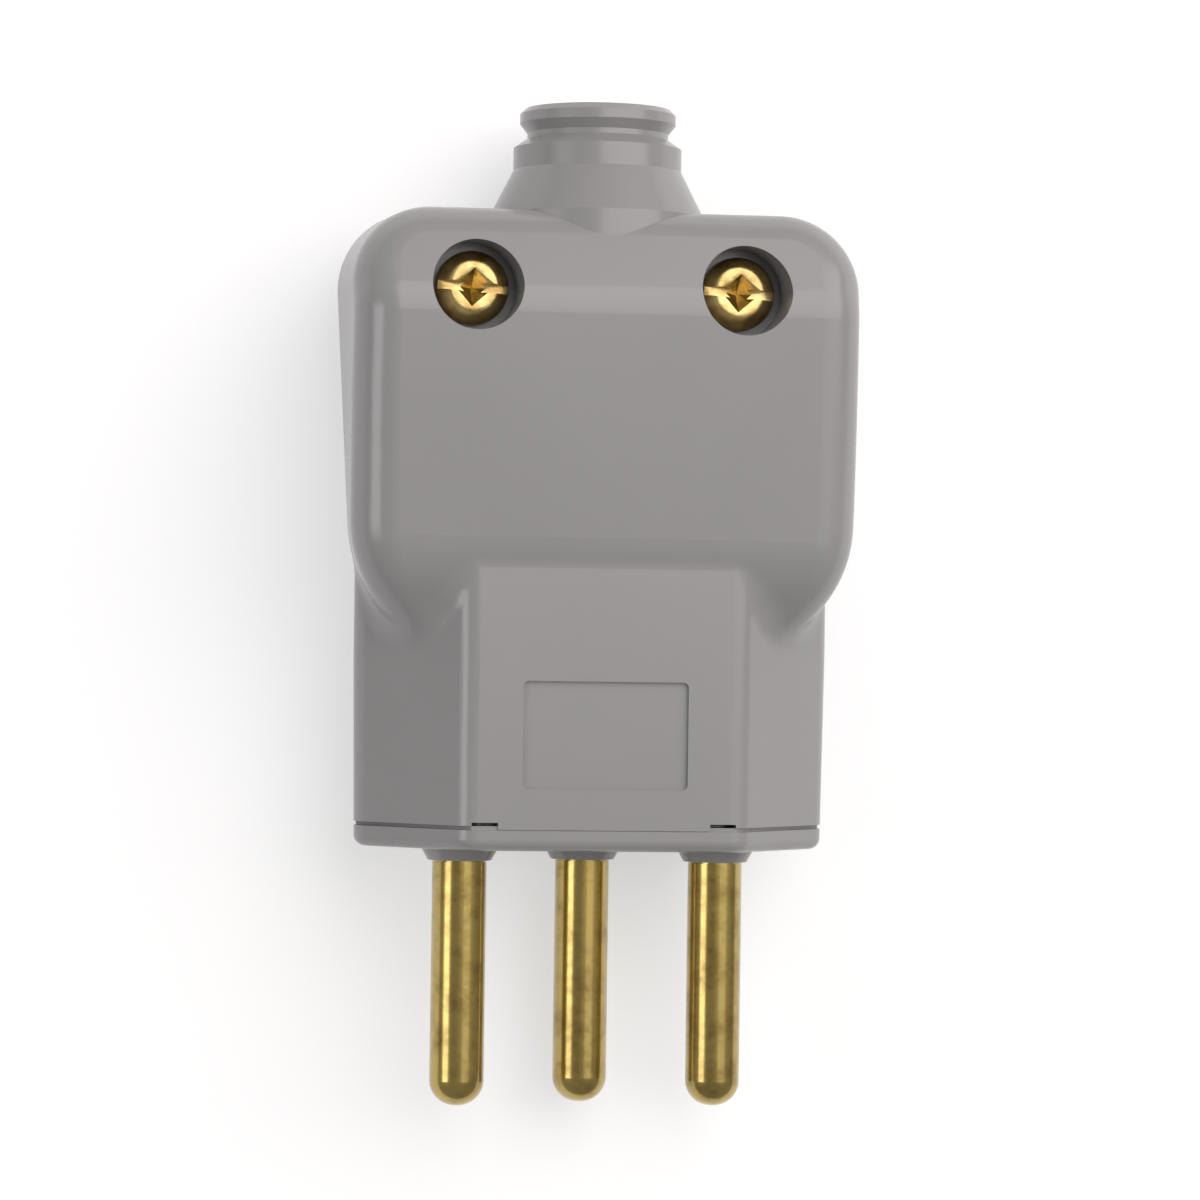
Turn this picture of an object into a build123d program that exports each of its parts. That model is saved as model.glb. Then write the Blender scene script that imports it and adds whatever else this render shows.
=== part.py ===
from build123d import *
from math import acos, atan2, cos, hypot, radians, tan
import os

# Rewireable plug with earth pin, lying on its flat back, sizes in millimetres.
# X runs across the pins, Y along the plug towards the cord, Z up towards the screws.
# The origin is on the engagement face, midway between the line and neutral pins.

# Pins
pin_pitch = 19.0
earth_offset = 3.0
pin_d = 4.0
pin_reach = 19.0
pin_tip_round = 1.85
collar_d = 6.0
collar_t = 1.5
palm_w = 7.0
palm_length = 8.0
palm_t = 2.5
palm_corner = 0.8
palm_root = 0.5
relief_depth = 0.2
relief_w = 0.6
relief_gap = 0.1

# Outside of the body
base_half_w = 17.3
foot_y = 14.0
foot_half_w = 17.5
shoulder_y = 46.4
shoulder_half_w = 19.4
half_depth = 8.5
flat_half_w = 10.0
side_round = 2.2
flat_round = 2.0
base_edge_round = 0.8

# Grip: the raised upper part of both covers
grip_start_y = 13.0
grip_corner_round = 11.0
shoulder_round = 5.8
crown_foot_inset = 0.4
crown_inset = 1.4
rear_draft_deg = 14.0
ridge_y = 39.7
ridge_rise = 1.4
back_rise = 0.3
ridge_round = 4.5
face_fall_deg = 3.6
slope_deg = 23.0
belly_y = 20.4
belly_deg = 34.0
belly_round = 8.0
front_edge_round = 3.2
rear_edge_round = 2.5
root_round = 3.0
prism_short = 8.0

# Walls and joints of the covers
wall = 1.8
flange_t = 1.5
joint_gap = 0.3
tongue_half_w = 7.7
tongue_gap = 0.05
notch_w = 1.9
notch_h = 0.25
fit_gap = 0.15
rib_y = 4.3
rib_t = 1.6
rib_reach = 0.9
rib_gap = 0.15
recess_w = 12.0
recess_h = 7.75
recess_y = 4.5
recess_depth = 0.3
recess_corner = 0.4

# Pin carrier and retainer
carrier_top = 9.0
boss_root_d = 5.8
boss_tip_d = 4.7
boss_h = 1.0
bore_gap = 0.05
retainer_t = 2.0
retainer_half_w = 13.4
retainer_gap = 0.2
slot_gap = 0.15

# Cord neck
neck_top = 54.3
neck_collar_r = 5.75
neck_collar_t = 1.1
neck_cone = 0.7
neck_groove_r = 5.2
neck_groove_w = 0.4
neck_ring_r = 6.2
neck_ring_t = 1.65
neck_foot_r = 7.9
neck_root = 2.5
neck_bevel = 0.4
cord_bore_r = 4.0

# Cover screws and nuts
cover_screw_inset = 9.65
cover_screw_y = 40.6
cover_screw_d = 3.5
cover_head_d = 5.4
cover_head_h = 2.0
cover_head_sink = 2.4
counterbore_d = 6.6
screw_hole_gap = 0.15
boss_wall = 1.5
nut_width = 6.0
nut_t = 2.4
nut_depth = 0.9
nut_gap = 0.1
screw_short = 0.2

# Terminals
terminal_y = 15.3
terminal_screw_d = 3.0
terminal_head_d = 5.0
terminal_head_h = 1.7
terminal_shank = 5.2
washer_side = 6.0
washer_t = 0.8
thread_gap = 0.05

# Cord clamp
clamp_y = 32.5
clamp_screw_x = 7.2
clamp_w = 20.0
clamp_length = 5.4
clamp_t = 2.0
clamp_seat_z = 1.5
clamp_boss_d = 5.6
clamp_screw_d = 2.9
clamp_head_d = 5.0
clamp_head_h = 1.8
clamp_shank = 8.0
clamp_ridge_t = 1.0
clamp_ridge_z = -3.6
clamp_rib_h = 0.6
clamp_rib_w = 9.0

# Drive recess of every screw: a long slot crossed by a short one
slot_w = 0.9
slot_depth = 0.9
cross_share = 0.62
head_bevel = 0.5

# Worked out from the sizes above
half_pitch = pin_pitch / 2
pin_places = {"line": (-half_pitch, 0.0), "neutral": (half_pitch, 0.0), "earth": (0.0, -earth_offset)}
ridge_z = half_depth + ridge_rise
prism_top = ridge_y - prism_short
crown_foot_half_w = shoulder_half_w - crown_foot_inset
crown_half_w = shoulder_half_w - crown_inset
cover_screw_x = shoulder_half_w - cover_screw_inset
cover_head_top = half_depth - cover_head_sink
collar_y = carrier_top - collar_t
palm_y = carrier_top + retainer_t + retainer_gap
cover_seat_z = cover_head_top - cover_head_h
back_z = -half_depth - back_rise
nut_floor_z = back_z + nut_depth + nut_t
roomy = 4 * (shoulder_half_w + shoulder_y)


def across(y):
    """Plane square to the plug's length: its sketch reads X to the right and Z up."""
    return Plane(origin=(0, y, 0), x_dir=(1, 0, 0), z_dir=(0, -1, 0))


def block(x, y, z):
    """Box between the two values given for each direction."""
    size = [b - a for a, b in (x, y, z)]
    middle = [(a + b) / 2 for a, b in (x, y, z)]
    return Pos(*middle) * Box(*size)


def rod(x, y, z, d):
    """Round bar standing along Z, between the two heights in z."""
    return Pos(x, y, (z[0] + z[1]) / 2) * Cylinder(d / 2, z[1] - z[0])


def turned(*points):
    """Solid turned about the plug's length from points of radius and Y."""
    return revolve(make_face(Polyline(*points, close=True)), axis=Axis.Y)


def half_width(y):
    """Half-width of the body at the joint between the covers."""
    if y < foot_y:
        return base_half_w + (foot_half_w - base_half_w) * y / foot_y
    rise = (shoulder_half_w - foot_half_w) / (shoulder_y - foot_y)
    return foot_half_w + rise * (y - foot_y)


def hexagon(y, inset):
    """Six-sided section of the body with rounded corners, its walls moved in by inset."""
    outer_half_w = half_width(min(y, foot_y))
    half_w = outer_half_w - inset
    depth = half_depth - inset
    turn = atan2(half_depth, outer_half_w - flat_half_w)
    flat = flat_half_w - inset * tan(turn / 2)
    corner = max(side_round - inset, 0.4)
    middle = half_w - corner
    away = hypot(middle - flat, depth)
    lean = acos(corner / away) - atan2(depth, flat - middle)
    point = middle + corner / cos(lean)
    outline = Polyline(
        (point, 0), (flat, depth), (-flat, depth), (-point, 0), (-flat, -depth), (flat, -depth), close=True
    )
    face = make_face(outline)
    face = fillet([v for v in face.vertices() if abs(v.Y) < depth / 2], corner)
    face = fillet([v for v in face.vertices() if abs(v.Y) > depth * 0.99], max(flat_round - inset, 0.4))
    return across(y) * face


def hex_prism(y0, y1, inset):
    """Length of the six-sided body between two places along the plug."""
    stops = [y0] + [y for y in (foot_y,) if y0 < y < y1] + [y1]
    return loft([hexagon(y, inset) for y in stops], ruled=True)


def grip_outline(z, foot_w, top_w, inset):
    """Shouldered outline of the grip at a height, from its half-widths at the foot and at the shoulder."""
    low = grip_start_y + inset
    high = shoulder_y - inset
    low_w = foot_w - inset
    high_w = top_w - inset
    outline = Polyline((low_w, low), (high_w, high), (-high_w, high), (-low_w, low), close=True)
    face = make_face(outline)
    middle = (low + high) / 2
    face = fillet([v for v in face.vertices() if v.Y > middle], shoulder_round - inset)
    face = fillet([v for v in face.vertices() if v.Y < low + 0.01], grip_corner_round - inset)
    return Plane.XY.offset(z) * face


def front_profile(inset):
    """Side view of the front grip: belly, long face, ridge and slope towards the neck."""
    fall = tan(radians(face_fall_deg))
    belly_slope = tan(radians(belly_deg))
    top_slope = tan(radians(slope_deg))
    belly_z = ridge_z - (ridge_y - belly_y) * fall
    far = shoulder_y + wall
    points = [
        (belly_y - belly_z / belly_slope, 0),
        (belly_y, belly_z),
        (ridge_y, ridge_z),
        (far, ridge_z - (far - ridge_y) * top_slope),
        (far, 0),
    ]
    face = make_face(Polyline(*points, close=True))
    face = fillet([v for v in face.vertices() if abs(v.X - belly_y) < 0.01], belly_round)
    face = fillet([v for v in face.vertices() if abs(v.X - ridge_y) < 0.01], ridge_round)
    return Pos(inset, -inset) * face


def rear_profile(inset):
    """Side view of the rear grip: belly and flat back."""
    depth = -back_z - inset
    run = depth / tan(radians(belly_deg))
    far = shoulder_y + wall
    corner = belly_y + inset * tan(radians(belly_deg / 2))
    face = make_face(Polyline((corner - run, 0), (corner, -depth), (far, -depth), (far, 0), close=True))
    return fillet([v for v in face.vertices() if abs(v.X - corner) < 0.01], belly_round)


def rim_edges(solid, sign):
    """Edges between the walls of the grip and its face, away from the joint between the covers."""
    chosen = []
    for edge in solid.edges():
        place = edge.center()
        way = edge.tangent_at(0.5)
        along_face = abs(way.X) > 0.999 and grip_start_y + 0.5 < place.Y < shoulder_y - wall - 0.5
        up_wall = abs(way.Z) > 0.9
        if sign * place.Z > 0.6 and not along_face and not up_wall:
            chosen.append(edge)
    return chosen


def front_grip(inset):
    """Raised front of the plug, its sides leaning outwards at the foot and inwards at the shoulder."""
    joint = grip_outline(0, half_width(grip_start_y), shoulder_half_w, inset)
    crown = grip_outline(ridge_z, crown_foot_half_w, crown_half_w, inset)
    walls = loft([joint, crown], ruled=True)
    return walls & extrude(Plane.YZ * front_profile(inset), amount=roomy / 2, both=True)


def rear_grip(inset):
    """Flat-backed rear of the plug, its sides leaning inwards from the joint."""
    foot_w = half_width(grip_start_y)
    lean = -back_z * tan(radians(rear_draft_deg))
    joint = grip_outline(0, foot_w, shoulder_half_w, inset)
    back = grip_outline(back_z, foot_w - lean, shoulder_half_w - lean, inset)
    walls = loft([back, joint], ruled=True)
    return walls & extrude(Plane.YZ * rear_profile(inset), amount=roomy / 2, both=True)


def front_half(solid):
    """What lies above the joint between the covers."""
    return solid & block((-roomy, roomy), (-roomy, roomy), (0, roomy))


def rear_half(solid):
    """What lies below the joint between the covers."""
    return solid & block((-roomy, roomy), (-roomy, roomy), (-roomy, 0))


def outer_form(half, grip, sign, edge_round):
    """Outside form of one cover: its half of the six-sided body run into its grip, and of the neck."""
    lower = half(hex_prism(flange_t + tongue_gap, prism_top, 0))
    upper = fillet(rim_edges(grip, sign), edge_round)
    whole = lower + upper
    root = [e for e in new_edges(lower, upper, combined=whole) if sign * e.center().Z > 0.05]
    return fillet(root, root_round) + half(neck())


def hollows():
    """Hollows of the front and rear covers, narrower where a rib grips the pin carrier."""
    prism = hex_prism(0, rib_y, wall)
    prism += hex_prism(rib_y, rib_y + rib_t, wall + rib_reach)
    prism += hex_prism(rib_y + rib_t, prism_top, wall)
    return front_half(prism) + front_grip(wall), rear_half(prism) + rear_grip(wall)


def cover_screw_places():
    """Left and right places of the screws that hold the covers together."""
    return {"left": -cover_screw_x, "right": cover_screw_x}


def clamp_screw_places():
    """Left and right places of the screws that hold the cord clamp."""
    return {"left": -clamp_screw_x, "right": clamp_screw_x}


def neck():
    """Ribbed cord neck, turned about the plug's length."""
    collar_y0 = neck_top - neck_collar_t
    groove_y1 = collar_y0 - neck_cone
    groove_y0 = groove_y1 - neck_groove_w
    ring_y1 = groove_y0 - neck_cone
    ring_y0 = ring_y1 - neck_ring_t
    root_y = shoulder_y - neck_root
    return turned(
        (0, root_y),
        (neck_foot_r, root_y),
        (neck_foot_r, shoulder_y),
        (neck_ring_r, ring_y0),
        (neck_ring_r, ring_y1),
        (neck_groove_r, groove_y0),
        (neck_groove_r, groove_y1),
        (neck_collar_r, collar_y0),
        (neck_collar_r, neck_top - neck_bevel),
        (neck_collar_r - neck_bevel, neck_top),
        (0, neck_top),
    )


def cord_bore():
    """Way for the cord through the neck, with a bevelled mouth."""
    mouth_r = cord_bore_r + neck_bevel
    inside_y = shoulder_y - wall - 1
    return turned(
        (0, inside_y),
        (cord_bore_r, inside_y),
        (cord_bore_r, neck_top - neck_bevel),
        (mouth_r, neck_top),
        (mouth_r, neck_top + 1),
        (0, neck_top + 1),
    )


def foot_joint():
    """Gap left over the carrier's flange beside the tongue, with a prying notch at each end."""
    tall = (-roomy, roomy)
    gap = Part()
    for side in (-1, 1):
        inner = side * tongue_half_w
        gap += block(sorted((inner, side * roomy)), (0, flange_t + joint_gap), tall)
        notch_end = side * (tongue_half_w + notch_w)
        gap += block(sorted((inner, notch_end)), (0, flange_t + joint_gap + notch_h), tall)
    return gap


def label_recess():
    """Shallow rectangle sunk in the front of the lower body."""
    depth = (half_depth - recess_depth, half_depth + 1)
    panel = block((-recess_w / 2, recess_w / 2), (recess_y, recess_y + recess_h), depth)
    return fillet(panel.edges().filter_by(Axis.Z), recess_corner)


def front_cover(form, hollow):
    """Front cover: counterbored screw posts, half the neck and the sunk label place."""
    solid = form - hollow
    for x in cover_screw_places().values():
        post_d = counterbore_d + 2 * boss_wall
        solid += rod(x, cover_screw_y, (0, ridge_z), post_d) & form
    for cut in (cord_bore(), foot_joint(), label_recess()):
        solid -= cut
    for x in cover_screw_places().values():
        solid -= rod(x, cover_screw_y, (-1, roomy), cover_screw_d + 2 * screw_hole_gap)
        solid -= rod(x, cover_screw_y, (cover_seat_z, roomy), counterbore_d)
    return solid


def rear_cover(form, hollow):
    """Rear cover: posts with nut pockets, clamp posts and cord ridges, half the neck."""
    solid = form - hollow
    floor_z = back_z + wall / 2
    for x in cover_screw_places().values():
        post_d = (nut_width + 2 * nut_gap) / cos(radians(30)) + 2 * boss_wall
        solid += rod(x, cover_screw_y, (back_z, 0), post_d) & form
    for x in clamp_screw_places().values():
        solid += rod(x, clamp_y, (floor_z, clamp_seat_z), clamp_boss_d)
    for side in (-1, 1):
        ridge_mid = clamp_y + side * clamp_length / 4
        ridge_span = (ridge_mid - clamp_ridge_t / 2, ridge_mid + clamp_ridge_t / 2)
        solid += block((-cord_bore_r, cord_bore_r), ridge_span, (floor_z, clamp_ridge_z))
    for cut in (cord_bore(), foot_joint()):
        solid -= cut
    pocket = hex_bar(nut_width + 2 * nut_gap, nut_depth + nut_t + 1)
    for x in cover_screw_places().values():
        solid -= rod(x, cover_screw_y, (-roomy, 1), cover_screw_d + 2 * screw_hole_gap)
        solid -= Pos(x, cover_screw_y, nut_floor_z - nut_depth - nut_t - 1) * pocket
    for x in clamp_screw_places().values():
        deep = clamp_seat_z + clamp_t - clamp_shank - screw_short
        solid -= rod(x, clamp_y, (deep, roomy), clamp_screw_d + 2 * thread_gap)
    return solid


def hex_bar(width, length):
    """Six-sided bar standing on the ground plane, its width measured over the flats."""
    return extrude(RegularPolygon(width / 2, 6, major_radius=False), amount=length)


def pin_carrier():
    """Base plate and block that carry the three pins."""
    flange = hex_prism(0, flange_t, 0)
    rim = [e for e in flange.edges() if abs(e.center().Y) < 0.01]
    flange = fillet(rim, base_edge_round)
    solid = flange + hex_prism(flange_t, carrier_top, wall + fit_gap)
    groove = (rib_y - rib_gap, rib_y + rib_t + rib_gap)
    solid -= hex_prism(*groove, 0) - hex_prism(*groove, wall + rib_reach + fit_gap)
    root_r = boss_root_d / 2
    tip_r = boss_tip_d / 2
    boss = turned((0, flange_t), (root_r, flange_t), (root_r, 0), (tip_r, -boss_h), (0, -boss_h))
    bore_r = pin_d / 2 + bore_gap
    seat_r = collar_d / 2 + fit_gap
    bore = turned(
        (0, -boss_h - 1),
        (bore_r, -boss_h - 1),
        (bore_r, collar_y),
        (seat_r, collar_y),
        (seat_r, carrier_top + 1),
        (0, carrier_top + 1),
    )
    for x, z in pin_places.values():
        solid += Pos(x, 0, z) * boss
        solid -= Pos(x, 0, z) * bore
    return solid


def pin_retainer():
    """Comb plate slid over the necks of the pins, above their collars."""
    top = carrier_top + retainer_t
    plate = hex_prism(carrier_top, top, wall + 2 * fit_gap)
    plate &= block((-retainer_half_w, retainer_half_w), (0, roomy), (-roomy, roomy))
    slot_r = pin_d / 2 + slot_gap
    span = (carrier_top - 1, top + 1)
    slot_end = turned((0, span[0]), (slot_r, span[0]), (slot_r, span[1]), (0, span[1]))
    for x, z in pin_places.values():
        plate -= block((x - slot_r, x + slot_r), span, (z, roomy))
        plate -= Pos(x, 0, z) * slot_end
    return plate


def pin(x, z):
    """Turned brass pin with a relief and a collar, its inner end a flat palm with a tapped hole."""
    pin_r = pin_d / 2
    relief_r = pin_r - relief_depth
    relief_y = -boss_h - relief_gap
    shank = turned(
        (0, -pin_reach),
        (pin_r, -pin_reach),
        (pin_r, relief_y),
        (relief_r, relief_y),
        (relief_r, relief_y + relief_w),
        (pin_r, relief_y + relief_w),
        (pin_r, collar_y),
        (collar_d / 2, collar_y),
        (collar_d / 2, carrier_top),
        (pin_r, carrier_top),
        (pin_r, palm_y + palm_root),
        (0, palm_y + palm_root),
    )
    tip = [e for e in shank.edges() if e.center().Y < -pin_reach + 0.01]
    shank = fillet(tip, pin_tip_round)
    palm = block((-palm_w / 2, palm_w / 2), (palm_y, palm_y + palm_length), (-palm_t / 2, palm_t / 2))
    palm = fillet(palm.edges().filter_by(Axis.Z), palm_corner)
    palm -= rod(0, terminal_y, (-palm_t, palm_t), terminal_screw_d + 2 * thread_gap)
    return Pos(x, 0, z) * (shank + palm)


def driven_screw(x, y, seat_z, d, length, head_d, head_h):
    """Pan-head screw pointing down from its seat, with a slot crossed by a shorter one."""
    head = rod(0, 0, (0, head_h), head_d)
    head = chamfer(head.edges().group_by(Axis.Z)[-1], head_bevel)
    half_slot = slot_w / 2
    cut = (head_h - slot_depth, head_h + 1)
    head -= block((-head_d, head_d), (-half_slot, half_slot), cut)
    cross = head_d * cross_share / 2
    head -= block((-half_slot, half_slot), (-cross, cross), cut)
    shank = rod(0, 0, (-length, 0), d)
    shank = chamfer(shank.edges().group_by(Axis.Z)[0], d * 0.15)
    return Pos(x, y, seat_z) * (head + shank)


def clamp_washer(x, z):
    """Square washer that presses the conductor on the palm."""
    plate = Box(washer_side, washer_side, washer_t)
    plate = fillet(plate.edges().filter_by(Axis.Z), palm_corner)
    plate -= rod(0, 0, (-washer_t, washer_t), terminal_screw_d + 2 * screw_hole_gap)
    return Pos(x, terminal_y, z + (palm_t + washer_t) / 2) * plate


def cord_clamp():
    """Bar that presses the cord into the rear cover, with a rounded rib underneath."""
    bar = block((-clamp_w / 2, clamp_w / 2), (-clamp_length / 2, clamp_length / 2), (0, clamp_t))
    bar = fillet(bar.edges().filter_by(Axis.Z), clamp_length / 4)
    rib_half = min(clamp_rib_w / 2, clamp_screw_x - clamp_boss_d / 2 - fit_gap)
    bar += block((-rib_half, rib_half), (-clamp_ridge_t / 2, clamp_ridge_t / 2), (-clamp_rib_h, 0))
    for x in clamp_screw_places().values():
        bar -= rod(x, 0, (-1, clamp_t + 1), clamp_screw_d + 2 * screw_hole_gap)
    return Pos(0, clamp_y, clamp_seat_z) * bar


def cover_nut(x):
    """Brass nut in the pocket of the rear cover."""
    nut = hex_bar(nut_width, nut_t) - rod(0, 0, (-1, nut_t + 1), cover_screw_d + 2 * thread_gap)
    return Pos(x, cover_screw_y, nut_floor_z - nut_t) * nut


def save(name, solid):
    """Write one sub-part."""
    solid.label = name
    export_step(solid, f"parts/{name}.step")


os.makedirs("parts", exist_ok=True)
front_form = outer_form(front_half, front_grip(0), 1, front_edge_round)
rear_form = outer_form(rear_half, rear_grip(0), -1, rear_edge_round)
front_hollow, rear_hollow = hollows()
save("front_cover", front_cover(front_form, front_hollow))
save("rear_cover", rear_cover(rear_form, rear_hollow))
save("pin_carrier", pin_carrier())
save("pin_retainer", pin_retainer())

for name, (x, z) in pin_places.items():
    save(f"{name}_pin", pin(x, z))
    save(f"{name}_clamp_washer", clamp_washer(x, z))
    head_seat_z = z + palm_t / 2 + washer_t
    screw_sizes = (terminal_screw_d, terminal_shank, terminal_head_d, terminal_head_h)
    save(f"{name}_terminal_screw", driven_screw(x, terminal_y, head_seat_z, *screw_sizes))

save("cord_clamp", cord_clamp())
for side, x in clamp_screw_places().items():
    screw_sizes = (clamp_screw_d, clamp_shank, clamp_head_d, clamp_head_h)
    save(f"cord_clamp_screw_{side}", driven_screw(x, clamp_y, clamp_seat_z + clamp_t, *screw_sizes))

for side, x in cover_screw_places().items():
    screw_length = cover_seat_z - nut_floor_z + nut_t - screw_short
    screw_sizes = (cover_screw_d, screw_length, cover_head_d, cover_head_h)
    save(f"cover_screw_{side}", driven_screw(x, cover_screw_y, cover_seat_z, *screw_sizes))
    save(f"cover_nut_{side}", cover_nut(x))
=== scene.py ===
"""Rewireable plug with earth pin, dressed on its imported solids. Lengths are in metres."""
import math

import bpy
from mathutils import Matrix, Vector


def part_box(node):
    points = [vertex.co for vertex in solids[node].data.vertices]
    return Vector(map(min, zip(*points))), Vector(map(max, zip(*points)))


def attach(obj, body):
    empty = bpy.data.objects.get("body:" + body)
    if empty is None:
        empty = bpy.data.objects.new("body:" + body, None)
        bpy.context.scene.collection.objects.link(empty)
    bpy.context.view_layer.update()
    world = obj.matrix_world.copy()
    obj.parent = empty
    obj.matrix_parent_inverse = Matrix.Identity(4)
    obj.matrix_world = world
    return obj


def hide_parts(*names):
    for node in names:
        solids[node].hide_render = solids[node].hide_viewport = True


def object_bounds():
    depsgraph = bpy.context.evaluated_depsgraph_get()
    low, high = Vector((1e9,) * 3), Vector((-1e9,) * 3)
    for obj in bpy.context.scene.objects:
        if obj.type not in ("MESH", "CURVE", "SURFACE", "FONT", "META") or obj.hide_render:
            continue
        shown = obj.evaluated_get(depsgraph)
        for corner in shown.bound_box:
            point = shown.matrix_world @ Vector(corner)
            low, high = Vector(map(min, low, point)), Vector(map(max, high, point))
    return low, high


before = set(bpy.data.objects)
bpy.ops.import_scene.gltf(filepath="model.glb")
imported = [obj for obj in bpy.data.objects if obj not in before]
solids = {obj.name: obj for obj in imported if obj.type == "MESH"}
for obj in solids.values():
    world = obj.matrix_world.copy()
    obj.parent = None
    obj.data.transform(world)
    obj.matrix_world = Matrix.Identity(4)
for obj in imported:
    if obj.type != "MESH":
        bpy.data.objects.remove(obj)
solids_low, solids_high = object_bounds()
MM = 0.001

# Camera: a little to the left of straight above the plug
CAMERA_AWAY = 340 * MM
CAMERA_SIDE = math.radians(8.0)
CAMERA_Y = 15.2 * MM
CAMERA_ROLL = math.radians(0.8)
LOOK_AT = Vector((0.65 * MM, 18.2 * MM, 0))
LENS_MM = 138.4
SENSOR_MM = 36
CLIP_NEAR = 10 * MM
CLIP_FAR = 10

# Cover screws: domed head with a long slot and a four-cornered recess cut in it
HEAD_HEIGHT = 2.0 * MM
HEAD_DOME = 1.15 * MM
HEAD_DOME_STEPS = 10
SLOT_WIDTH = 0.65 * MM
SLOT_DEPTH = 0.6 * MM
SLOT_TURN = math.radians(-4)
CROSS_REACH = 1.45 * MM
CROSS_DEPTH = 1.85 * MM

# Shank and rolled thread. The ridge's section is a triangle, and its size and its distance from
# the root are shares of the thread's depth
SHANK_RADIUS = 1.75 * MM
SHANK_BEVEL = 0.4 * MM
THREAD_PITCH = 0.7 * MM
THREAD_DEPTH = 0.35 * MM
RIDGE_SIZE_SHARE = 0.6
RIDGE_PLACE_SHARE = 0.35
RIDGE_STEPS = 24

# All fasteners
NUT_BEVEL = 0.35 * MM
EDGE_BREAK = 0.06 * MM
EDGE_BREAK_STEPS = 2
EDGE_BREAK_ANGLE = math.radians(35)
SMOOTH_ANGLE = math.radians(38)
RIM_TOLERANCE = 0.01 * MM
OUTER_SIDES = 96
INNER_SIDES = 48

# Lip in the joint between the covers and the base
JOINT_FOOT = 1.5 * MM
JOINT_TOP = 1.8 * MM
LIP_INSET = 0.15 * MM
LIP_FLAT = 9.6 * MM

# Moulded ABS. Its grain is 0.05 mm on the real part, and is drawn larger so that it can show
ABS_LIGHT = "959393"
ABS_DARK = "8F8D8D"
ABS_ROUGHNESS = 0.22
ABS_GLOSS_STRAY = (-0.04, 0.06)
ABS_IOR = 1.53
CLOUD_SIZE = 12 * MM
GRAIN_SIZE = 0.25 * MM
GRAIN_DEPTH = 0.01 * MM
GRAIN_STRENGTH = 0.12

# Dark line where the two covers meet
JOINT_LINE_HALF = 0.05 * MM
JOINT_LINE_HEX = "3A3838"

# Drawn brass, its draw lines twenty times as long as they are wide
TARNISH_SIZE = 2 * MM
TARNISH_FROM = (0.45, 0.7)
BRASS_GLOSS_STRAY = (-0.05, 0.1)
DRAW_LINE_WIDTH = 0.12 * MM
DRAW_LINE_SQUEEZE = 0.05
DRAW_LINE_DEPTH = 0.01 * MM
DRAW_LINE_STRENGTH = 0.15

# Plated small parts
STAIN_SIZE = 1.2 * MM
STAIN_FROM = (0.35, 0.7)
PLATE_GLOSS_STRAY = (-0.06, 0.12)
DENT_SIZE = 0.5 * MM
DENT_DEPTH = 0.03 * MM
DENT_STRENGTH = 0.3

# Floor. The white that the camera sees mixed into it makes it come out white, with a pale shadow
FLOOR_SIZE = 6
FLOOR_ROUGHNESS = 0.9
WHITE_SHARE = 0.4
WHITE_LEVEL = 1.25

# Studio lamps: name, degrees to the right and degrees towards the cord from straight above,
# width and height, watts, colour
LAMPS = (
    ("large soft light", 30, 26, 0.8, 0.58, 3.4, "FFFAF9"),
    ("reflector card", 29, -7, 0.34, 0.14, 0.1, "FFFFFF"),
    ("narrow light", -56, -2, 0.26, 0.2, 0.5, "FFFFFF"),
)
LAMP_AWAY = 600 * MM
LAMP_TARGET = Vector((0, 18 * MM, 0))
WORLD_LEVEL = 0.35


def srgb(hex_colour):
    """Linear red, green, blue and alpha of an sRGB hex colour."""
    values = [int(hex_colour[i:i + 2], 16) / 255 for i in (0, 2, 4)]
    return [v / 12.92 if v <= 0.04045 else ((v + 0.055) / 1.055) ** 2.4 for v in values] + [1]


def add_node(tree, kind, settings=None, links=None):
    """Add a shader node, set its properties and sockets, and link outputs into the others."""
    node = tree.nodes.new(kind)
    for name, value in (settings or {}).items():
        if isinstance(name, str) and name in node.bl_rna.properties:
            setattr(node, name, value)
        else:
            node.inputs[name].default_value = value
    for name, output in (links or {}).items():
        tree.links.new(output, node.inputs[name])
    return node


def new_material(name):
    """Empty material and the node tree of its surface."""
    material = bpy.data.materials.new(name)
    material.use_nodes = True
    material.node_tree.nodes.clear()
    return material, material.node_tree


def own_place(tree):
    """Place of a surface point in the piece's own coordinates."""
    return add_node(tree, "ShaderNodeTexCoord").outputs["Object"]


def noise(tree, place, size, **settings):
    """Noise whose largest features have one size."""
    settings["Scale"] = 1 / size
    return add_node(tree, "ShaderNodeTexNoise", settings, {"Vector": place}).outputs[0]


def maths(tree, operation, first, second=None):
    """Result of an operation on an output and, where it takes two, a number or another output."""
    node = add_node(tree, "ShaderNodeMath", {"operation": operation}, {0: first})
    if isinstance(second, (int, float)):
        node.inputs[1].default_value = second
    elif second is not None:
        tree.links.new(second, node.inputs[1])
    return node.outputs[0]


def spread(tree, value, source=(0, 1), target=(0, 1)):
    """A value moved from one range to another."""
    settings = {
        "From Min": source[0],
        "From Max": source[1],
        "To Min": target[0],
        "To Max": target[1],
    }
    return add_node(tree, "ShaderNodeMapRange", settings, {"Value": value}).outputs[0]


def uneven(tree, pattern, roughness, stray):
    """Roughness that strays both ways from its middle value with a pattern."""
    return spread(tree, pattern, target=(roughness + stray[0], roughness + stray[1]))


def two_tones(tree, first_hex, second_hex, share):
    """Colour that goes from the first to the second with the share."""
    settings = {"data_type": "RGBA", 6: srgb(first_hex), 7: srgb(second_hex)}
    return add_node(tree, "ShaderNodeMix", settings, {0: share}).outputs[2]


def finish_surface(tree, shader):
    """Join a shader to the material's output."""
    add_node(tree, "ShaderNodeOutputMaterial", links={"Surface": shader.outputs[0]})


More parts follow.
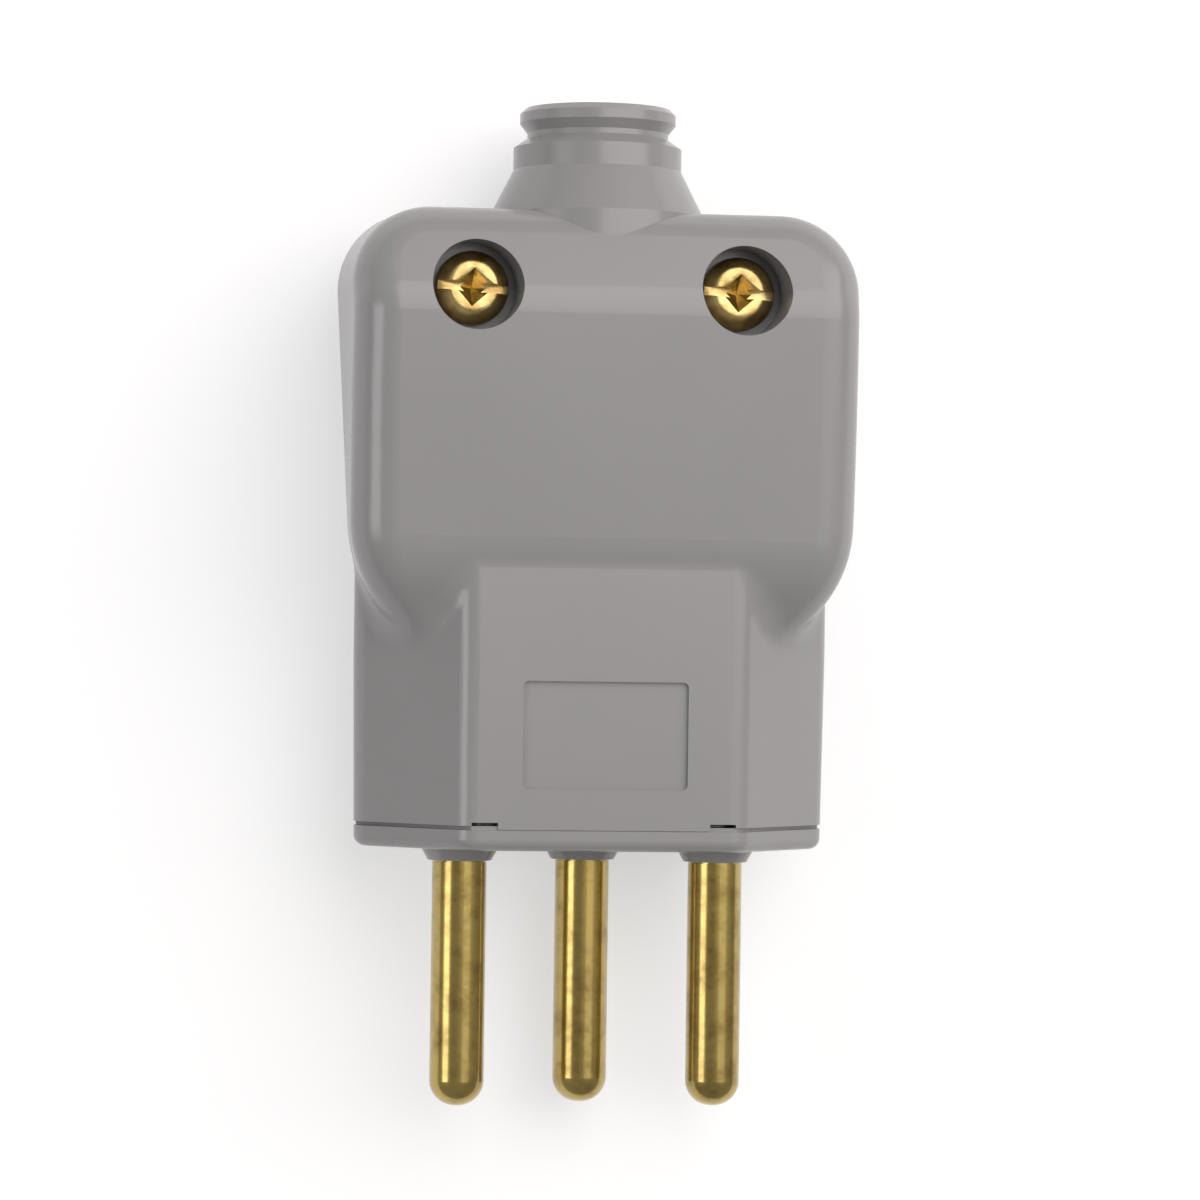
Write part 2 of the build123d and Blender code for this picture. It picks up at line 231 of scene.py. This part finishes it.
def finish_relief(tree, settings, colour, roughness, height, strength, depth):
    """Finish a surface that has a colour, a roughness and a fine relief."""
    bump = add_node(
        tree, "ShaderNodeBump", {"Strength": strength, "Distance": depth}, {"Height": height}
    )
    links = {"Base Color": colour, "Roughness": roughness, "Normal": bump.outputs[0]}
    finish_surface(tree, add_node(tree, "ShaderNodeBsdfPrincipled", settings, links))


def moulded_abs(name, light_hex, dark_hex, roughness, joint_half=0):
    """Semi-gloss ABS with the faint grain of its mould, and a dark line where two covers meet."""
    material, tree = new_material(name)
    place = own_place(tree)
    cloud = noise(tree, place, CLOUD_SIZE, Detail=3)
    colour = two_tones(tree, light_hex, dark_hex, cloud)
    height = add_node(tree, "ShaderNodeSeparateXYZ", links={0: place}).outputs["Z"]
    joint = maths(tree, "LESS_THAN", maths(tree, "ABSOLUTE", height), joint_half)
    colour = add_node(
        tree,
        "ShaderNodeMix",
        {"data_type": "RGBA", 7: srgb(JOINT_LINE_HEX)},
        {0: joint, 6: colour},
    ).outputs[2]
    grain = noise(tree, place, GRAIN_SIZE, Detail=2)
    gloss = uneven(tree, grain, roughness, ABS_GLOSS_STRAY)
    finish_relief(tree, {"IOR": ABS_IOR}, colour, gloss, grain, GRAIN_STRENGTH, GRAIN_DEPTH)
    return material


def drawn_brass(name, bright_hex, dull_hex, roughness):
    """Turned brass rod: fine lines along it, and duller patches where it has tarnished."""
    material, tree = new_material(name)
    place = own_place(tree)
    tarnish = noise(tree, place, TARNISH_SIZE, Detail=8, Roughness=0.65)
    colour = two_tones(tree, bright_hex, dull_hex, spread(tree, tarnish, source=TARNISH_FROM))
    squeezed = add_node(
        tree, "ShaderNodeMapping", {"Scale": (1, DRAW_LINE_SQUEEZE, 1)}, {"Vector": place}
    ).outputs[0]
    lines = noise(tree, squeezed, DRAW_LINE_WIDTH, Detail=2)
    gloss = uneven(tree, tarnish, roughness, BRASS_GLOSS_STRAY)
    lacquered = {"Metallic": 1.0, "Coat Weight": 0.6, "Coat Roughness": 0.08}
    finish_relief(tree, lacquered, colour, gloss, lines, DRAW_LINE_STRENGTH, DRAW_LINE_DEPTH)
    return material


def plated_metal(name, bright_hex, dull_hex, roughness):
    """Barrel-plated small parts: bright, with the dents and stains that tumbling leaves."""
    material, tree = new_material(name)
    place = own_place(tree)
    stain = noise(tree, place, STAIN_SIZE, Detail=4)
    colour = two_tones(tree, bright_hex, dull_hex, spread(tree, stain, source=STAIN_FROM))
    dents = noise(tree, place, DENT_SIZE, Detail=3)
    gloss = uneven(tree, dents, roughness, PLATE_GLOSS_STRAY)
    finish_relief(tree, {"Metallic": 1.0}, colour, gloss, dents, DENT_STRENGTH, DENT_DEPTH)
    return material


def white_floor(name):
    """Matt paper, whiter than it is lit where the camera sees it, directly or in a mirror."""
    material, tree = new_material(name)
    paper_settings = {"Base Color": srgb("FDFDFD"), "Roughness": FLOOR_ROUGHNESS}
    paper = add_node(tree, "ShaderNodeBsdfPrincipled", paper_settings)
    rays = add_node(tree, "ShaderNodeLightPath").outputs
    seen = rays["Is Camera Ray"]
    for ray in ("Is Glossy Ray", "Is Transmission Ray"):
        seen = maths(tree, "MAXIMUM", seen, rays[ray])
    share = maths(tree, "MULTIPLY", seen, WHITE_SHARE)
    white = add_node(tree, "ShaderNodeEmission", {"Color": srgb("FFFFFF"), "Strength": WHITE_LEVEL})
    links = {0: share, 1: paper.outputs[0], 2: white.outputs[0]}
    finish_surface(tree, add_node(tree, "ShaderNodeMixShader", links=links))
    return material


def paint(thing, material):
    """Give an object one material."""
    thing.data.materials.clear()
    thing.data.materials.append(material)


def only(thing):
    """Make one object the selected and active one."""
    bpy.ops.object.select_all(action="DESELECT")
    thing.select_set(True)
    bpy.context.view_layer.objects.active = thing


def named(name):
    """Name the object that was just added and hand it back."""
    thing = bpy.context.object
    thing.name = name
    thing.data.name = name
    return thing


def settle(thing):
    """Put the object's place, turn and scale into its mesh, and leave it selected."""
    only(thing)
    bpy.ops.object.transform_apply(location=True, rotation=True, scale=True)


def cylinder(name, sides, radius, depth, place, turn=0):
    """Upright cylinder or prism round a place."""
    bpy.ops.mesh.primitive_cylinder_add(
        vertices=sides, radius=radius, depth=depth, location=place, rotation=(0, 0, turn)
    )
    thing = named(name)
    settle(thing)
    return thing


def apply_modifier(thing, kind, **settings):
    """Add a modifier, set it and apply it."""
    only(thing)
    bpy.ops.object.modifier_add(type=kind)
    modifier = thing.modifiers[-1]
    for name, value in settings.items():
        setattr(modifier, name, value)
    bpy.ops.object.modifier_apply(modifier=modifier.name)


def combine(thing, other, operation):
    """Cut or intersect a piece with another, which is used up."""
    apply_modifier(thing, "BOOLEAN", operation=operation, object=other, solver="EXACT")
    only(other)
    bpy.ops.object.delete()


def ease_edges(thing):
    """Take the sharpness off a fastener's edges."""
    apply_modifier(
        thing,
        "BEVEL",
        width=EDGE_BREAK,
        segments=EDGE_BREAK_STEPS,
        limit_method="ANGLE",
        angle_limit=EDGE_BREAK_ANGLE,
    )


def choose_edges(thing, wanted):
    """In edit mode, select the edges whose two ends the test accepts."""
    only(thing)
    bpy.ops.object.mode_set(mode="EDIT")
    bpy.ops.mesh.select_mode(type="EDGE")
    bpy.ops.mesh.select_all(action="DESELECT")
    bpy.ops.object.mode_set(mode="OBJECT")
    mesh = thing.data
    for edge in mesh.edges:
        edge.select = all(wanted(mesh.vertices[i].co) for i in edge.vertices)
    bpy.ops.object.mode_set(mode="EDIT")


def round_rim(thing, height, width, steps):
    """Round the rim that lies at one height of an upright piece."""
    choose_edges(thing, lambda point: abs(point.z - height) < RIM_TOLERANCE)
    bpy.ops.mesh.bevel(offset=width, segments=steps, affect="EDGES", profile=0.5)
    bpy.ops.object.mode_set(mode="OBJECT")


def thread(centre, bottom, top):
    """Helical ridge of a rolled thread between two heights."""
    root = SHANK_RADIUS - THREAD_DEPTH
    bpy.ops.mesh.primitive_circle_add(
        vertices=3,
        radius=THREAD_DEPTH * RIDGE_SIZE_SHARE,
        fill_type="NGON",
        rotation=(math.pi / 2, 0, 0),
    )
    ridge = named("ridge")
    settle(ridge)
    bpy.ops.object.mode_set(mode="EDIT")
    bpy.ops.mesh.select_all(action="SELECT")
    bpy.ops.transform.rotate(value=math.pi / 2, orient_axis="Y", center_override=(0, 0, 0))
    bpy.ops.transform.translate(value=(root + THREAD_DEPTH * RIDGE_PLACE_SHARE, 0, 0))
    bpy.ops.object.mode_set(mode="OBJECT")
    apply_modifier(
        ridge,
        "SCREW",
        axis="Z",
        screw_offset=THREAD_PITCH,
        iterations=int((top - bottom) / THREAD_PITCH) - 1,
        steps=RIDGE_STEPS,
        render_steps=RIDGE_STEPS,
        use_normal_calculate=True,
    )
    ridge.location = (centre.x, centre.y, bottom + THREAD_PITCH / 2)
    settle(ridge)
    return ridge


def cut_drive(screw, cutter, place, scale=(1, 1, 1)):
    """Cut a part of the drive into a screw's head, turned as the slot is."""
    cutter.scale = scale
    cutter.rotation_euler = (0, 0, SLOT_TURN)
    cutter.location = place
    settle(cutter)
    combine(screw, cutter, "DIFFERENCE")


def cover_screw(side):
    """Pan-head screw with a slot and a four-cornered recess, standing in its counterbore."""
    low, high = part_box(f"cover_screw_{side}")
    centre = (low + high) / 2
    radius = (high.x - low.x) / 2
    seat = high.z - HEAD_HEIGHT
    middle = (centre.x, centre.y, seat + HEAD_HEIGHT / 2)
    screw = cylinder(f"cover_screw_{side}_dressed", OUTER_SIDES, radius, HEAD_HEIGHT, middle)
    round_rim(screw, high.z, HEAD_DOME, HEAD_DOME_STEPS)
    bpy.ops.mesh.primitive_cube_add(size=1)
    slot_box = (3 * radius, SLOT_WIDTH, 2 * SLOT_DEPTH)
    cut_drive(screw, named("slot_cutter"), (centre.x, centre.y, high.z), slot_box)
    # Worn cross recess: four corners that meet in a point, one pair of them along the slot
    bpy.ops.mesh.primitive_cone_add(vertices=4, radius1=0, radius2=CROSS_REACH, depth=CROSS_DEPTH)
    recess_middle = high.z + EDGE_BREAK - CROSS_DEPTH / 2
    cut_drive(screw, named("cross_cutter"), (centre.x, centre.y, recess_middle))
    ease_edges(screw)
    middle = (centre.x, centre.y, (seat + low.z) / 2)
    shank = cylinder("shank", INNER_SIDES, SHANK_RADIUS - THREAD_DEPTH, seat - low.z, middle)
    round_rim(shank, low.z, SHANK_BEVEL, 1)
    ridge = thread(centre, low.z, seat)
    only(screw)
    shank.select_set(True)
    ridge.select_set(True)
    bpy.ops.object.join()
    bpy.ops.object.shade_smooth_by_angle(angle=SMOOTH_ANGLE)
    paint(screw, screw_plate)
    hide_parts(f"cover_screw_{side}")
    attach(screw, "root")


def cover_nut(side):
    """Hexagon nut with turned corners and an eased hole, held in the rear cover."""
    low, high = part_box(f"cover_nut_{side}")
    centre = (low + high) / 2
    height = high.z - low.z
    corner = (high.y - low.y) / math.sqrt(3)
    nut = cylinder(f"cover_nut_{side}_dressed", 6, corner, height, centre, math.pi / 6)
    blank = cylinder("turned_blank", OUTER_SIDES, corner, height, centre)
    round_rim(blank, low.z, NUT_BEVEL, 1)
    round_rim(blank, high.z, NUT_BEVEL, 1)
    combine(nut, blank, "INTERSECT")
    hole = cylinder("tapped_hole", INNER_SIDES, SHANK_RADIUS + EDGE_BREAK, 3 * height, centre)
    combine(nut, hole, "DIFFERENCE")
    ease_edges(nut)
    bpy.ops.object.shade_smooth_by_angle(angle=SMOOTH_ANGLE)
    paint(nut, screw_plate)
    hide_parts(f"cover_nut_{side}")
    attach(nut, "root")


def joint_lip():
    """Six-sided plate in the joint over the base, which keeps light from passing through it."""
    low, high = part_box("pin_carrier")
    half_width = high.x - LIP_INSET
    half_depth = high.z - LIP_INSET
    bpy.ops.mesh.primitive_cylinder_add(vertices=6, radius=1, depth=1, rotation=(math.pi / 2, 0, 0))
    lip = named("joint_lip")
    settle(lip)
    lip.rotation_euler = (0, math.pi / 6, 0)
    settle(lip)
    lip.scale = (half_width, JOINT_TOP - JOINT_FOOT, half_depth / math.sin(math.pi / 3))
    lip.location = (0, (JOINT_TOP + JOINT_FOOT) / 2, 0)
    settle(lip)
    # The four corners on the flats lie at half of half_width, and go out to LIP_FLAT
    choose_edges(lip, lambda point: abs(point.z) > half_depth / 2)
    bpy.ops.transform.resize(value=(2 * LIP_FLAT / half_width, 1, 1), center_override=(0, 0, 0))
    bpy.ops.object.mode_set(mode="OBJECT")
    paint(lip, base_abs)
    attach(lip, "root")


def facing(place, target, roll=0):
    """Matrix of a thing at place that looks at target, with the cord end of the plug upwards."""
    back = (place - target).normalized()
    right = Vector((0, 1, 0)).cross(back).normalized()
    up = back.cross(right)
    turn = Matrix((right, up, back)).transposed() @ Matrix.Rotation(roll, 3, "Z")
    return Matrix.Translation(place) @ turn.to_4x4()


def soft_light(name, side, up, width, height, watts, hex_colour):
    """Rectangular lamp, side degrees to the right and up degrees towards the cord."""
    a = math.radians(side)
    b = math.radians(up)
    way = Vector((math.sin(a) * math.cos(b), math.sin(b), math.cos(a) * math.cos(b)))
    data = bpy.data.lights.new(name, "AREA")
    data.shape = "RECTANGLE"
    data.size = width
    data.size_y = height
    data.energy = watts
    data.color = srgb(hex_colour)[:3]
    lamp = bpy.data.objects.new(name, data)
    bpy.context.collection.objects.link(lamp)
    lamp.matrix_world = facing(LAMP_TARGET + LAMP_AWAY * way, LAMP_TARGET)


# Finishes
cover_abs = moulded_abs(
    "grey moulded ABS of the covers", ABS_LIGHT, ABS_DARK, ABS_ROUGHNESS, JOINT_LINE_HALF
)
base_abs = moulded_abs("grey moulded ABS of the base", ABS_LIGHT, ABS_DARK, ABS_ROUGHNESS)
inner_abs = moulded_abs("pale moulded ABS", "C9C5BE", "BDB9B2", 0.5)
pin_metal = drawn_brass("drawn brass rod", "B19A54", "8A7034", 0.2)
screw_plate = plated_metal("brass plate on screws", "D3BE80", "A5854F", 0.2)
clamp_zinc = plated_metal("zinc plate on clamp screws", "C4C7C9", "9DA1A4", 0.32)

finishes = {
    "front_cover": cover_abs,
    "rear_cover": cover_abs,
    "pin_carrier": base_abs,
    "pin_retainer": inner_abs,
    "cord_clamp": inner_abs,
    "line_pin": pin_metal,
    "neutral_pin": pin_metal,
    "earth_pin": pin_metal,
    "cord_clamp_screw_left": clamp_zinc,
    "cord_clamp_screw_right": clamp_zinc,
}
for name, solid in solids.items():
    paint(solid, finishes.get(name, screw_plate))

for side in ("left", "right"):
    cover_screw(side)
    cover_nut(side)
joint_lip()

# Floor that the plug lies on
bpy.ops.mesh.primitive_plane_add(size=FLOOR_SIZE, location=(0, 0, solids_low.z))
floor = named("floor")
settle(floor)
paint(floor, white_floor("white paper sweep"))

# Large soft light on the right with a weak card below it, narrow one on the left, grey all round
for lamp in LAMPS:
    soft_light(*lamp)
world = bpy.data.worlds.new("studio")
world.use_nodes = True
background = world.node_tree.nodes["Background"]
background.inputs["Color"].default_value = srgb("FFFFFF")
background.inputs["Strength"].default_value = WORLD_LEVEL
bpy.context.scene.world = world
bpy.context.scene.view_settings.view_transform = "Standard"

camera_data = bpy.data.cameras.new("camera")
camera_data.lens = LENS_MM
camera_data.sensor_width = SENSOR_MM
camera_data.clip_start = CLIP_NEAR
camera_data.clip_end = CLIP_FAR
camera = bpy.data.objects.new("camera", camera_data)
bpy.context.collection.objects.link(camera)
camera_side = -CAMERA_AWAY * math.sin(CAMERA_SIDE)
camera_up = CAMERA_AWAY * math.cos(CAMERA_SIDE)
camera.matrix_world = facing(Vector((camera_side, CAMERA_Y, camera_up)), LOOK_AT, CAMERA_ROLL)
bpy.context.scene.camera = camera
